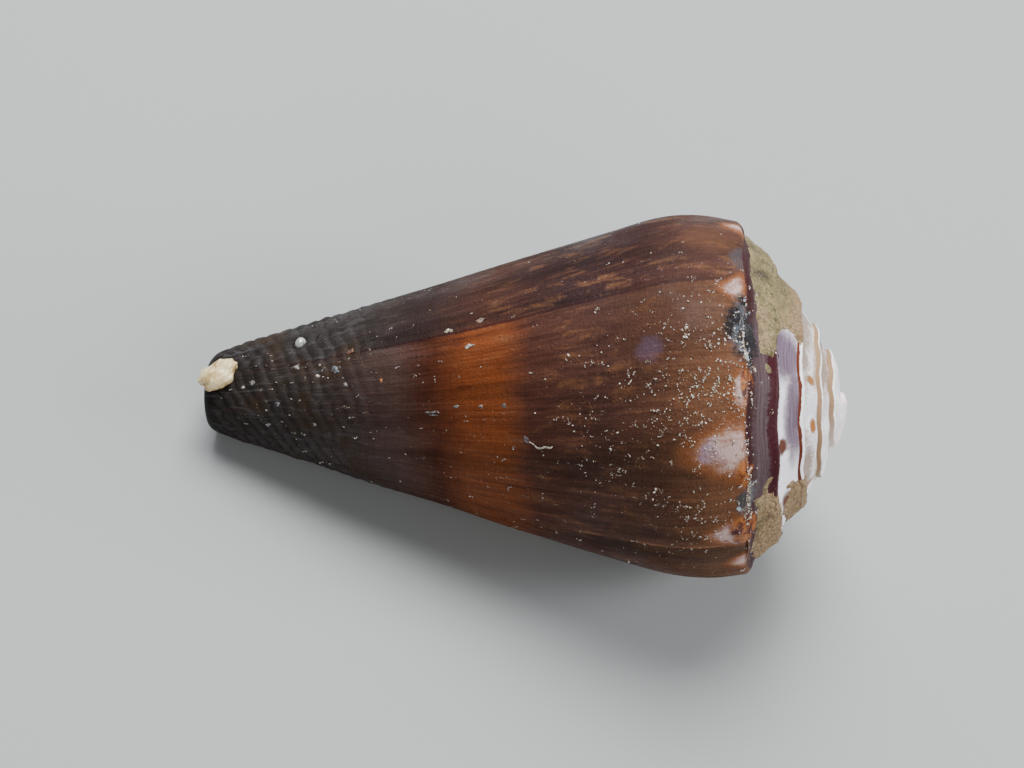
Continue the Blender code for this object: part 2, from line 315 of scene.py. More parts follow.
def sheet_point(turn, across):
    """Distance from the tip and radius: across is -1 at the suture, 0 at the shoulder, 1 at the tip.
    The side is skewed along growth lines; the ramp is a straight line with a sunken channel."""
    down = np.clip(across, 0.0, 1.0)
    skewed = turn - LINE_SKEW * down
    side_place, side_radius = side_point(skewed, 1.0 - down)
    share = np.clip(1.0 + across, 0.0, 1.0)
    suture_place, suture_radius = side_point(turn - 1.0, 1.0 - SUTURE_COVER)
    opened = opening(turn - 1.0) > 0.0
    suture_place = np.where(opened, suture_place, LENGTH)
    suture_radius = np.where(opened, suture_radius, 0.0)
    size = shoulder_radius(turn) / SHOULDER_RADIUS
    edge_radius = shoulder_radius(turn) - EDGE_INSET * size
    sag = CHANNEL_DEPTH * size * np.sin(np.pi * share ** CHANNEL_BIAS) * (1.0 - 2.6 * smooth(-turn, 3.4, 4.2))
    ramp_place = suture_place + (shoulder_place(turn) - suture_place) * share - sag
    ramp_radius = suture_radius + (edge_radius - suture_radius) * share
    on_side = across >= 0.0
    return np.where(on_side, side_place, ramp_place), np.where(on_side, side_radius, ramp_radius)


def ramp_length(turn):
    """The ramp's length from suture to shoulder."""
    return shoulder_radius(turn) - shoulder_radius(turn - 1.0) + 0.3 * MM


RIB_HEIGHT = 0.105 * MM
RIB_SPACING = 0.83 * MM
RIB_DRIFT = 14.0 * MM  # how far a rib creeps towards the tip in one turn
RIB_FADE = (8.0 * MM, 15.0 * MM)
LAST_PAUSE = -0.657  # the turn of the growth pause near the lip side
PAUSE_LEDGE = 0.18 * MM
OLD_LINE = -0.400  # the dark growth line over the back
LINE_GROOVE = 0.045 * MM
CHIP = (-0.457, 0.018, 0.9 * MM, 0.32 * MM)  # turn, half turns, half span and depth of the worn dent
DENT_HEIGHT = 0.09 * MM
DENT_REACH = 1.1 * MM
WRINKLE_HEIGHT = 0.020 * MM
LUMP_HEIGHT = 0.050 * MM
LAST_RAMP = 2.4 * MM  # the width of the last turn's ramp


def ribs_at(turn, place):
    """The ribs round the tip, 0 in the grooves to about 1: a raised cosine along a wobbling helix."""
    wobble = 0.16 * ripple(turn * 60.0, place / MM * 1.1, 10, 3)
    phase = 2.0 * np.pi * ((place + RIB_DRIFT * turn) / RIB_SPACING + wobble)
    faded = (1.0 - smooth(place, *RIB_FADE)) * smooth(place, 0.3 * MM, 1.5 * MM)
    ribs = (0.5 + 0.5 * np.cos(phase)) ** 0.8 * faded
    return ribs * (1.0 + 0.35 * ripple(turn * 40.0, place / MM * 2.0, 10, 5))


def relief(turn, across, place):
    """Height over the smooth sheet: slanting ribs at the tip, wrinkles, lumps, the growth pause's
    ledge, the growth line's groove, and a chip and dents along the shoulder."""
    outside = (across > 0.0) * (1.0 - smooth(-turn, 0.95, 1.0)) * (1.0 - smooth(across, 0.985, 1.0))
    ribs = ribs_at(turn, place)
    from_shoulder = np.where(across > 0.0, across * SIDE_LENGTH, across * LAST_RAMP)
    chip = -CHIP[3] * np.exp(-((turn - CHIP[0]) / CHIP[1]) ** 2 - (from_shoulder / CHIP[2]) ** 2)
    dents = DENT_HEIGHT * ripple(turn * 55.0, from_shoulder / MM * 0.8, 14, 8)
    dents = dents * (1.0 - smooth(-turn, 0.95, 1.0)) * np.exp(-(from_shoulder / DENT_REACH) ** 2)
    wrinkles = WRINKLE_HEIGHT * ripple(turn * 70.0, place / MM * 0.12, 14, 7)
    lumps = LUMP_HEIGHT * ripple(turn * 9.0, place / MM * 0.35, 12, 9)
    near_shoulder = smooth(place, 25.0 * MM, 31.0 * MM)
    ledge = PAUSE_LEDGE * near_shoulder * (smooth(turn, LAST_PAUSE - 0.002, LAST_PAUSE + 0.002) - 1.0)
    ledge = ledge * smooth(turn, LAST_PAUSE - 0.10, LAST_PAUSE - 0.01)
    line = OLD_LINE + 0.006 * ripple(place / MM * 0.3, 0.0, 4, 2)
    groove = -LINE_GROOVE * np.exp(-((turn - line) / 0.0035) ** 2)
    ribs = RIB_HEIGHT * (ribs - 0.5 * (1.0 - smooth(place, *RIB_FADE)))
    return outside * (ribs + wrinkles + lumps + ledge + groove) + chip + dents


def in_frame(turn, place, radius):
    """Points of the coil in the frame: the turn spins them about the axis that ends at the apex."""
    angle = LIP_ANGLE - 2.0 * np.pi * turn
    coil = np.stack([place - LENGTH, radius * np.cos(angle), radius * np.sin(angle)], -1)
    return coil @ REST.T + APEX


def skin(turn, across, lift=0.0):
    """Points of the outside, lift above it: the sheet averaged over the rounding of the shoulder."""
    turn, across = np.broadcast_arrays(np.asarray(turn, float), np.asarray(across, float))
    metric = np.where(across < 0.0, ramp_length(turn), SIDE_LENGTH)
    distance = across * metric
    width = EDGE_ROUNDING * smooth(across, -1.0, -0.6) * (1.0 - smooth(across, 0.0, 0.05))
    place = radius = 0.0
    for offset in (-1.0, -0.5, 0.0, 0.5, 1.0):
        moved = distance + offset * width * shoulder_radius(turn) / SHOULDER_RADIUS
        moved = moved / np.where(moved < 0.0, ramp_length(turn), SIDE_LENGTH)
        one_place, one_radius = sheet_point(turn, moved)
        place, radius = place + one_place / 5.0, radius + one_radius / 5.0
    height = relief(turn, across, place) + lift
    on_ramp = smooth(-across, 0.0, 0.15)
    skewed = turn - LINE_SKEW * np.clip(across, 0.0, 1.0)
    return in_frame(skewed, place + height * on_ramp, radius + height * (1.0 - 0.5 * on_ramp))


def inner_skin(turn, share):
    """Points of the inside of the last whorl's wall: the outside less the wall's thickness."""
    skewed = turn - LINE_SKEW * (1.0 - share)
    rim = rim_recess(skewed)
    place = rim + share * (shoulder_place(skewed) - ROOF - rim)
    outer = (place - rim) / (shoulder_place(skewed) - rim)
    thick = WALL + (LIP_WALL - WALL) * smooth(skewed, -LIP_SPAN, 0.0)
    thick = thick + (TIP_WALL - thick) * (1.0 - share) ** 3
    radius = side_point(skewed, outer)[1] - thick
    return in_frame(skewed, place, radius), place, radius


def grid_triangles(ids, rows, columns, flip=False):
    """Two triangles for each cell of ids[column, row] between those rows and columns."""
    block = ids[columns[0]:columns[1] + 1, rows[0]:rows[1] + 1]
    a, b, c, d = block[:-1, :-1], block[:-1, 1:], block[1:, 1:], block[1:, :-1]
    corners = [(a, d, b), (b, d, c)] if flip else [(a, b, d), (b, c, d)]
    return np.concatenate([np.stack(three, -1).reshape(-1, 3) for three in corners])


def ladder(one, other):
    """Triangles between two rows of vertices; the shorter one's vertices are repeated."""
    count = max(len(one), len(other))
    one = one[np.round(np.linspace(0, len(one) - 1, count)).astype(int)]
    other = other[np.round(np.linspace(0, len(other) - 1, count)).astype(int)]
    first = np.stack([one[:-1], one[1:], other[:-1]], -1)
    second = np.stack([one[1:], other[1:], other[:-1]], -1)
    return np.concatenate([first, second])


def outward_order(points, triangles):
    """The triangles turned so that the solid's volume is positive."""
    a, b, c = points[triangles[:, 0]], points[triangles[:, 1]], points[triangles[:, 2]]
    return triangles if np.einsum("ij,ij->", a, np.cross(b, c)) > 0.0 else triangles[:, ::-1]


def mesh_piece(name, points, triangles, finish, places=None, weld=None, sharp=None, **values):
    """A smooth-shaded mesh object. places gives each corner's (turn, across) for the UV map "coil";
    weld says which vertex each grid point shares; values are per-vertex attributes."""
    weld = np.arange(len(points)) if weld is None else weld
    corners = weld[triangles]
    whole = (corners != np.roll(corners, 1, axis=1)).all(axis=1)
    triangles, corners = triangles[whole], corners[whole]
    used, corners = np.unique(corners, return_inverse=True)
    corners = corners.reshape(-1, 3)
    mesh = bpy.data.meshes.new(name)
    mesh.vertices.add(len(used))
    mesh.vertices.foreach_set("co", points[used].astype(np.float32).ravel())
    mesh.loops.add(corners.size)
    mesh.loops.foreach_set("vertex_index", corners.ravel().astype(np.int32))
    mesh.polygons.add(len(corners))
    mesh.polygons.foreach_set("loop_start", np.arange(0, corners.size, 3, dtype=np.int32))
    if places is not None:
        layer = mesh.uv_layers.new(name="coil")
        layer.uv.foreach_set("vector", places[triangles.ravel()].astype(np.float32).ravel())
    for key, value in values.items():
        mesh.attributes.new(key, "FLOAT", "POINT").data.foreach_set("value", value[used].astype(np.float32))
    mesh.update(calc_edges=True)
    mesh.validate()
    mesh.materials.append(finish)
    mesh.shade_smooth()
    if sharp:
        mesh.set_sharp_from_angle(angle=math.radians(sharp))
    made = bpy.data.objects.new(name, mesh)
    bpy.context.scene.collection.objects.link(made)
    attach(made, "root")
    return made


# The shell's grid: columns along the coil, and rows from the suture to the tip.
COLUMNS = 150
RAMP_ROWS = 16
last = round(SPIRE_TURNS * COLUMNS)
lip = last - COLUMNS
end = last - round(CHAMBER_TURNS * COLUMNS)
edge_rows = np.linspace(0.0, SUTURE_COVER, 4)[1:]
foot_rows = np.linspace(SUTURE_COVER, ROOF_FOOT, 6)[1:]
side_rows = [edge_rows, foot_rows]
for low, high, count in ((ROOF_FOOT, 0.10, 12), (0.10, 0.64, 54), (0.64, 0.982, 78), (0.982, 1.0, 6)):
    side_rows.append(np.linspace(low, high, count)[1:])
side_rows = np.concatenate(side_rows)
across = np.concatenate([np.linspace(-1.0, 0.0, RAMP_ROWS), side_rows])
shoulder = RAMP_ROWS - 1
cover = shoulder + len(edge_rows)
foot = cover + len(foot_rows)
tip = len(across) - 1
turns = np.arange(last + 1) / COLUMNS - SPIRE_TURNS
turn_grid, across_grid = np.meshgrid(turns, across, indexing="ij")
outer_points = skin(turn_grid, across_grid)
outer_ids = np.arange(turn_grid.size).reshape(turn_grid.shape)
weld = outer_ids.copy()
weld[COLUMNS + 1:, 0] = outer_ids[1:last + 1 - COLUMNS, cover]
weld[:COLUMNS + 1, 0] = 0
weld[0, :] = 0
outer_points[0, 0] = APEX

# The inside: from the roof's foot on the whorl before, over the roof, and down the outer wall.
roof_rows = np.linspace(0.0, 1.0, shoulder - len(foot_rows) + 1)[1:-1]
inner_share = np.concatenate([[1.0], 1.0 - side_rows])
inner_turns = turns[end:]
wall_turns, wall_share = np.meshgrid(inner_turns, inner_share, indexing="ij")
wall_points, wall_place, wall_radius = inner_skin(wall_turns, wall_share)
roof_start = side_point(inner_turns - 1.0, 1.0 - ROOF_FOOT)
roof_place = roof_start[0][:, None] + (wall_place[:, :1] - roof_start[0][:, None]) * roof_rows
roof_radius = roof_start[1][:, None] + (wall_radius[:, :1] - roof_start[1][:, None]) * roof_rows
roof_points = in_frame(inner_turns[:, None] + 0.0 * roof_rows, roof_place, roof_radius)
foot_points = outer_points[end - COLUMNS:lip + 1, foot][:, None]
inner_points = np.concatenate([foot_points, roof_points, wall_points], 1)
first_inner = outer_ids.size
inner_ids = first_inner + np.arange(inner_points.size // 3).reshape(inner_points.shape[:2])
inner_weld = inner_ids.copy()
inner_weld[:, 0] = outer_ids[end - COLUMNS:lip + 1, foot]
inner_tip = inner_ids.shape[1] - 1
core_middle = first_inner + inner_ids.size
core_place = in_frame(np.array([0.0]), np.array([1.6 * MM]), np.array([0.0]))
shell_points = np.concatenate([outer_points.reshape(-1, 3), inner_points.reshape(-1, 3), core_place])
shell_weld = np.concatenate([weld.ravel(), inner_weld.ravel(), [core_middle]])
inner_across = 2.0 + np.linspace(0.0, 1.0, inner_tip + 1)
outer_places = np.stack([turn_grid, across_grid], -1).reshape(-1, 2)
inner_places = np.stack(np.meshgrid(inner_turns, inner_across, indexing="ij"), -1).reshape(-1, 2)
shell_places = np.concatenate([outer_places, inner_places, [[-1.5, 2.9]]])

outer_lip = outer_ids[last]
inner_lip = np.concatenate([outer_ids[lip, cover:foot], inner_ids[-1]])
core_ring = np.concatenate([outer_ids[end:end - COLUMNS - 1:-1, tip], inner_ids[:1, inner_tip]])
core_fan = np.stack([core_ring, np.roll(core_ring, -1), np.full(len(core_ring), core_middle)], -1)
shell_triangles = np.concatenate([
    grid_triangles(outer_ids, (0, cover), (0, last)),
    grid_triangles(outer_ids, (cover, foot), (lip, last)),
    grid_triangles(outer_ids, (foot, tip), (end - COLUMNS, last)),
    grid_triangles(inner_ids, (0, inner_tip), (0, last - end), flip=True),
    ladder(outer_lip, inner_lip),
    ladder(inner_ids[0], outer_ids[end - COLUMNS, foot:]),
    ladder(inner_ids[:, inner_tip], outer_ids[end:, tip]),
    core_fan,
])[:, ::-1]

TIP_BLACK = (0.010, 0.008, 0.007)
TIP_SLATE = (0.024, 0.021, 0.020)
PURPLE_BROWN = (0.056, 0.031, 0.027)
BAND_ORANGE = (0.132, 0.035, 0.011)
BODY_BROWN = (0.051, 0.023, 0.018)
GOLD = (0.130, 0.056, 0.026)
MAROON = (0.032, 0.010, 0.011)
SHOULDER_WHITE = (0.46, 0.33, 0.31)
LILAC = (0.25, 0.19, 0.28)
SPIRE_WHITE = (0.93, 0.92, 0.95)
SUTURE_TAN = (0.30, 0.19, 0.11)
KNOB_PINK = (0.95, 0.80, 0.78)
PORCELAIN = (0.74, 0.68, 0.76)

# (turn, across) of each blotch's middle, its half spans in turns and along the side
PALE_BLOTCHES = ((-0.414, 0.024, 0.009, 0.020), (-0.506, 0.008, 0.017, 0.020), (-0.556, 0.036, 0.020, 0.058),
                 (-0.642, 0.028, 0.013, 0.036), (-0.695, 0.010, 0.012, 0.022), (-0.780, 0.025, 0.018, 0.040),
                 (-0.860, 0.020, 0.014, 0.028), (-0.935, 0.030, 0.016, 0.045), (-0.060, 0.030, 0.016, 0.045),
                 (-0.150, 0.020, 0.018, 0.030), (-0.245, 0.030, 0.015, 0.045), (-0.320, 0.015, 0.012, 0.022))
SIDE_EMBERS = ((-0.500, 0.003, 0.018, 0.009), (-0.578, 0.006, 0.013, 0.014), (-0.640, 0.008, 0.014, 0.020),
               (-0.820, 0.000, 0.020, 0.014), (-0.110, 0.000, 0.020, 0.012))
RAMP_EMBERS = ((-0.500, -0.150, 0.012, 0.22), (-0.578, -0.120, 0.013, 0.28), (-0.645, -0.120, 0.017, 0.42),
               (-0.820, -0.120, 0.020, 0.30), (-0.110, -0.120, 0.020, 0.30))

shell_finish, net, shader = new_material("shell_brown", BODY_BROWN, 0.35, Coat_Roughness=0.12,
                                         Specular_IOR_Level=0.07)
coil = net.put("ShaderNodeUVMap", uv_map="coil").outputs[0]
parts = net.put("ShaderNodeSeparateXYZ", {"Vector": coil})
turn_at, across_at = parts.outputs[0], parts.outputs[1]
spot = net.put("ShaderNodeTexCoord").outputs["Object"]
cloud = net.noise(spot, 170.0, 4.0, 0.6)
fine_cloud = net.noise(spot, 900.0, 4.0, 0.65)
cloud_shift = net.minus(cloud, 0.5)
fine_shift = net.minus(fine_cloud, 0.5)


def coil_noise(per_turn, per_across, *detail):
    """Noise over (turn, across), with these scales along the two."""
    place = net.combine(net.times(turn_at, per_turn), net.times(across_at, per_across))
    return net.noise(place, 1.0, *detail)


# growth lines run from suture to tip, threads wind along the coil, and both are a little broken
growth_lines = coil_noise(260.0, 5.0, 4.0, 0.65)
growth_bands = coil_noise(34.0, 2.2, 3.0, 0.6)
threads = coil_noise(26.0, 190.0, 2.0, 0.6)
mottle = coil_noise(85.0, 15.0, 4.0, 0.7, 0.4)

# the colours from the tip up to the shoulder, on the young and the old side of the growth line
band_wobble = net.plus(net.times(cloud_shift, 0.05), net.times(net.minus(growth_bands, 0.5), 0.07))
share = net.minus(1.0, net.plus(across_at, band_wobble))
young = net.ramp(share, [(0.00, TIP_BLACK), (0.20, TIP_SLATE), (0.38, PURPLE_BROWN),
                         (0.45, (0.052, 0.015, 0.008)), (0.51, BAND_ORANGE), (0.575, BAND_ORANGE),
                         (0.63, (0.060, 0.023, 0.016)), (0.75, BODY_BROWN), (0.86, (0.070, 0.031, 0.019)),
                         (0.95, (0.112, 0.050, 0.026)), (1.00, (0.108, 0.043, 0.022))])
old = net.ramp(share, [(0.00, TIP_BLACK), (0.25, TIP_SLATE), (0.42, (0.024, 0.014, 0.013)),
                       (0.54, (0.044, 0.017, 0.012)), (0.68, (0.026, 0.012, 0.012)),
                       (0.80, (0.031, 0.012, 0.011)), (0.92, (0.056, 0.022, 0.016)),
                       (1.00, (0.046, 0.020, 0.016))])
line_turn = net.plus(OLD_LINE - 0.006, net.times(fine_shift, 0.006))
golden_flecks = net.times(net.step(mottle, 0.50, 0.68), net.step(share, 0.40, 0.70, 0.15, 0.65))
body = net.layers(young,
                  (net.step(net.minus(turn_at, line_turn), -0.001, 0.004), old),
                  (golden_flecks, GOLD),
                  (net.step(mottle, 0.26, 0.46, 0.62, 0.0), (0.022, 0.008, 0.007)))

# the shade of lines, bands, threads and the fine woven cracks
shade = net.step(growth_lines, 0.25, 0.75, 0.74, 1.32)
shade = net.times(shade, net.step(growth_bands, 0.30, 0.72, 0.72, 1.28))
shade = net.times(shade, net.step(threads, 0.30, 0.70, 0.94, 1.06))
weave_at = net.combine(net.times(turn_at, 210.0), net.times(across_at, 130.0))
weave_shift = net.combine(net.times(fine_shift, 2.5), net.times(cloud_shift, 5.0))
weave_at = net.vector("ADD", weave_at, weave_shift)
weave = net.put("ShaderNodeTexVoronoi", {"Vector": weave_at, "Scale": 1.0}, feature="DISTANCE_TO_EDGE")
woven = net.step(weave.outputs["Distance"], 0.0, 0.16)
shade = net.times(shade, net.plus(0.90, net.times(woven, 0.12)))
body = net.mix(1.0, body, net.combine(shade, shade, shade), "MULTIPLY")

# the ribs with painted grey sheen on their crests and painted shade in their grooves, stained patches and
# painted blue-grey sheen near the tip, then painted shade and a painted glint at the growth pause, and the
# growth line
rib = net.put("ShaderNodeAttribute", attribute_name="rib").outputs["Fac"]
near_tip = net.step(share, 0.28, 0.44, 1.0, 0.0)
grooves = net.times(net.step(rib, 0.02, 0.40, 1.0, 0.0), net.step(share, 0.20, 0.36, 0.6, 0.0))
pause_off = net.minus(turn_at, net.plus(LAST_PAUSE - 0.003, net.times(fine_shift, 0.006)))
pause_near = net.step(across_at, 0.16, 0.40, 1.0, 0.0)
# painted shade: a dark band below the growth pause's ledge
painted_pause_shade = net.times(pause_near, net.step(pause_off, -0.036, -0.004))
painted_pause_shade = net.times(painted_pause_shade, net.step(pause_off, -0.002, 0.001, 1.0, 0.0))
# painted highlight: a thin orange glint along the ledge's edge
painted_pause_glint = net.times(net.near(pause_off, 0.0025, 0.0006, 0.0022), pause_near)
painted_pause_glint = net.times(painted_pause_glint, net.step(mottle, 0.40, 0.55))
body = net.layers(body,
                  # painted sheen: grey on the rib crests
                  (net.times(rib, net.step(fine_cloud, 0.35, 0.65, 0.05, 0.50)), (0.048, 0.044, 0.044)),
                  # painted shade: near-black in the rib grooves
                  (grooves, (0.008, 0.006, 0.005)),
                  (net.times(near_tip, net.step(cloud, 0.48, 0.62, 0.0, 0.7)), (0.036, 0.021, 0.012)),
                  # painted sheen: blue-grey patches near the tip
                  (net.times(near_tip, net.step(mottle, 0.52, 0.68, 0.0, 0.6)), (0.052, 0.056, 0.064)),
                  # painted shade below the growth pause's ledge
                  (net.times(painted_pause_shade, 0.85), (0.014, 0.009, 0.006)),
                  # painted glint along the ledge's edge
                  (net.times(painted_pause_glint, 0.85), (0.30, 0.13, 0.055)),
                  (net.times(net.near(turn_at, line_turn, 0.0005, 0.0030), 0.75), (0.020, 0.006, 0.008)))

raggedness = net.plus(net.times(fine_shift, 2.4), net.times(cloud_shift, 2.4))
raggedness = net.plus(raggedness, net.times(net.minus(growth_lines, 0.5), 1.6))


def depth(places, taper=0.0, rough=1.0):
    """How far a point is from the nearest of these ragged ovals' middles, 1 at about their edges.
    taper narrows each oval towards the tip, so that it becomes a flame."""
    nearest = 9.0
    for middle_turn, middle_across, half_turn, half_across in places:
        off_turn = net.math("DIVIDE", net.minus(turn_at, middle_turn), half_turn)
        off_across = net.math("DIVIDE", net.minus(across_at, middle_across), half_across)
        off_turn = net.times(off_turn, net.plus(1.0, net.times(off_across, taper)))
        squares = net.plus(net.times(off_turn, off_turn), net.times(off_across, off_across))
        nearest = net.math("MINIMUM", nearest, squares)
    return net.plus(nearest, net.times(raggedness, rough))


def blotches(places, softness, taper=0.0, rough=1.0):
    return net.step(depth(places, taper, rough), 1.0 - softness, 1.0 + softness, 1.0, 0.0)


# a patch of painted shade, gold towards the shoulder, a lilac spot, a grey film, and glossy black pockets
# among the sand grains, with painted bluish-white reflections
SHADED_AREA = ((-0.440, 0.110, 0.038, 0.130),)
GOLD_AREAS = ((-0.350, 0.055, 0.022, 0.050), (-0.500, 0.045, 0.020, 0.030),
              (-0.600, 0.030, 0.022, 0.040), (-0.665, 0.100, 0.012, 0.120))
LILAC_SPOT = ((-0.467, 0.165, 0.010, 0.022),)
GREY_FILM = ((-0.380, 0.000, 0.016, 0.020),)
SIDE_POCKETS = ((-0.450, 0.002, 0.030, 0.030), (-0.607, 0.004, 0.013, 0.014))
RAMP_POCKETS = ((-0.460, -0.100, 0.028, 0.50), (-0.607, -0.100, 0.017, 0.50))
side_mask = net.step(net.plus(across_at, net.times(fine_shift, 0.25)), -0.10, -0.02)
ramp_mask = net.minus(1.0, side_mask)


def on_both(side_places, ramp_places, softness):
    """Blotches over the shoulder: the side and the ramp have their own scale across."""
    on_side = net.times(side_mask, blotches(side_places, softness))
    on_ramp = net.times(ramp_mask, blotches(ramp_places, softness))
    return net.plus(on_side, on_ramp)


body = net.layers(body,
                  # painted shade: a dark patch over the body where the lamps light it most
                  (net.times(blotches(SHADED_AREA, 0.98), 0.55), (0.040, 0.015, 0.009)),
                  (net.times(blotches(GOLD_AREAS, 0.95), 0.30), GOLD),
                  (net.times(blotches(LILAC_SPOT, 0.9), 0.6), (0.085, 0.055, 0.085)),
                  (net.times(blotches(GREY_FILM, 0.98), 0.42), (0.070, 0.072, 0.084)))
ember_mask = on_both(SIDE_EMBERS, RAMP_EMBERS, 0.6)
embers_at = net.noise(spot, 1300.0, 4.0, 0.65)
ember = net.mix(net.step(embers_at, 0.40, 0.60), (0.30, 0.100, 0.022), (0.040, 0.006, 0.008))
pale_depth = depth(PALE_BLOTCHES, 0.5, 0.8)
halo_mask = net.times(net.step(pale_depth, 0.9, 3.0, 0.85, 0.0), side_mask)
pale_mask = net.times(net.step(pale_depth, 0.10, 1.50, 0.92, 0.0), side_mask)
pale = net.layers(SHOULDER_WHITE,
                  (net.step(across_at, 0.040, 0.080), LILAC),
                  (net.step(pale_depth, 0.10, 0.90), (0.30, 0.150, 0.085)),
                  (net.step(mottle, 0.46, 0.62, 0.0, 0.60), (0.22, 0.120, 0.110)),
                  (net.step(embers_at, 0.56, 0.68, 0.0, 0.7), (0.10, 0.030, 0.022)))

# the ramp: maroon and grey-purple on the last turn, white with purple flames on the ones before
FLAME_PURPLE = (0.080, 0.045, 0.070)
FLAMES = ((-1.455, -0.50, 0.040, 0.75), (-1.525, -0.85, 0.070, 0.34), (-1.12, -0.6, 0.05, 0.7),
          (-1.86, -0.5, 0.06, 0.8))
FLAME_SPOTS = ((-1.570, -0.34, 0.010, 0.24), (-1.660, -0.60, 0.016, 0.30), (-1.25, -0.5, 0.02, 0.3))
ORANGE_DOTS = ((-2.472, -0.72, 0.009, 0.18), (-2.556, -0.80, 0.014, 0.14), (-2.70, -0.6, 0.012, 0.3),
               (-2.24, -0.5, 0.014, 0.3), (-2.92, -0.6, 0.012, 0.3))
SPIRE_STAINS = ((-1.330, -0.45, 0.060, 0.75), (-2.380, -0.35, 0.110, 0.50), (-3.400, -0.40, 0.110, 0.60),
                (-2.640, -0.30, 0.070, 0.45))
ramp_threads = coil_noise(18.0, 22.0, 2.0, 0.5)
wavy_across = net.plus(across_at, net.times(net.minus(growth_lines, 0.5), 0.35))
before_last = net.step(turn_at, -1.02, -0.98, 1.0, 0.0)
early = net.step(turn_at, -2.02, -1.98, 1.0, 0.0)
earliest = net.step(turn_at, -3.02, -2.98, 1.0, 0.0)
last_ramp = net.layers((0.056, 0.034, 0.038),
                       (net.step(ramp_threads, 0.30, 0.70), (0.092, 0.064, 0.070)),
                       (net.step(wavy_across, -0.66, -0.30), MAROON),
                       (net.step(wavy_across, -0.92, -0.84, 1.0, 0.0), (0.040, 0.008, 0.012)))
purple = net.mix(net.step(ramp_threads, 0.3, 0.7), FLAME_PURPLE, (0.150, 0.108, 0.158))
white_ramp = net.layers(SPIRE_WHITE,
                        (net.step(growth_lines, 0.3, 0.7), (0.84, 0.79, 0.88)),
                        (net.times(blotches(FLAMES, 0.80, 0.0, 0.5), 0.96), purple),
                        (blotches(FLAME_SPOTS, 0.6, 0.0, 0.6), (0.10, 0.035, 0.022)))
top_ramp = net.layers(SPIRE_WHITE,
                      (net.step(fine_cloud, 0.40, 0.62), (0.72, 0.68, 0.74)),
                      (blotches(ORANGE_DOTS, 0.7, 0.0, 0.5), (0.32, 0.125, 0.035)))
edge = net.mix(early, net.step(wavy_across, -0.22, -0.08), net.step(wavy_across, -0.10, -0.02, 0.0, 0.45))
edge_colour = net.mix(early, (0.040, 0.008, 0.012), net.mix(earliest, (0.110, 0.026, 0.014), SUTURE_TAN))
stained = net.times(net.step(wavy_across, -0.98, -0.74, 1.0, 0.0), net.step(cloud, 0.44, 0.54))
ramp = net.layers(last_ramp,
                  (before_last, net.mix(early, white_ramp, top_ramp)),
                  (edge, edge_colour),
                  (net.times(stained, net.times(early, 0.8)), SUTURE_TAN),
                  (net.times(blotches(SPIRE_STAINS, 0.7, 0.0, 1.5), 0.85), (0.215, 0.135, 0.078)))
riser_at = net.plus(across_at, net.times(fine_shift, 0.012))
riser_line = net.mix(earliest, net.step(riser_at, 0.0040, 0.0060), net.step(riser_at, 0.0005, 0.0030))
riser = net.mix(early, edge_colour, net.mix(riser_line, SPIRE_WHITE, edge_colour))
pocket_mask = on_both(SIDE_POCKETS, RAMP_POCKETS, 0.5)
# the pockets: black, with painted bluish-white reflection streaks
pocket_black_painted_reflections = net.layers((0.012, 0.012, 0.013),
                          (net.step(fine_cloud, 0.50, 0.62), (0.060, 0.070, 0.085)),
                          (net.step(embers_at, 0.60, 0.66), (0.36, 0.41, 0.50)))
net.fill(shader.inputs["Base Color"], net.layers(
    ramp,
    (side_mask, body),
    (net.times(before_last, side_mask), riser),
    (halo_mask, (0.165, 0.058, 0.022)),
    (pale_mask, pale),
    (net.times(ember_mask, 0.9), ember),
    (net.times(pocket_mask, 0.95), pocket_black_painted_reflections),
    (net.step(turn_at, -4.80, -4.50, 1.0, 0.0), KNOB_PINK),
    (net.step(across_at, 1.2, 1.6), PORCELAIN)))

dull = net.noise(spot, 320.0, 4.0, 0.6)
wet = net.step(dull, 0.42, 0.60, 1.0, 0.0)
rough_at = net.step(dull, 0.30, 0.70, 0.34, 0.66)
rough_at = net.mix(net.step(turn_at, -2.02, -0.98, 0.85, 0.0), rough_at, (0.20, 0.20, 0.20))
rough_at = net.math("MINIMUM", rough_at, net.step(pocket_mask, 0.0, 1.0, 1.0, 0.10))
net.fill(shader.inputs["Roughness"], rough_at)
glints = net.step(net.specks(spot, 2500.0), 0.08, 0.20, 1.0, 0.0)
glints = net.times(glints, net.step(mottle, 0.42, 0.56))
glints = net.math("MAXIMUM", net.times(wet, 0.02), glints)
net.fill(shader.inputs["Coat Weight"], net.math("MAXIMUM", glints, pocket_mask))
crumbs = net.step(net.specks(spot, 3300.0), 0.10, 0.34, 1.0, 0.0)
crumbs = net.times(crumbs, net.step(mottle, 0.42, 0.60, 0.1, 1.0))
grain = net.plus(net.times(threads, 0.32), net.times(growth_lines, 0.40))
for rise, height in ((net.noise(spot, 4600.0, 3.0, 0.7), 0.9), (crumbs, 0.5), (woven, 0.06)):
    grain = net.plus(grain, net.times(rise, height))
net.bump(shader, 1.0, 0.05 * MM, grain)
ribbed = (across_grid > 0.0) & (turn_grid > -1.0)
rib_values = np.zeros(len(shell_points))
rib_values[:outer_ids.size] = (ribbed * ribs_at(turn_grid, (1.0 - across_grid) * SIDE_LENGTH)).ravel()
shell = mesh_piece("shell_outside", shell_points, shell_triangles, shell_finish, shell_places, shell_weld,
                   50.0, rib=rib_values)
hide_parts("shell")

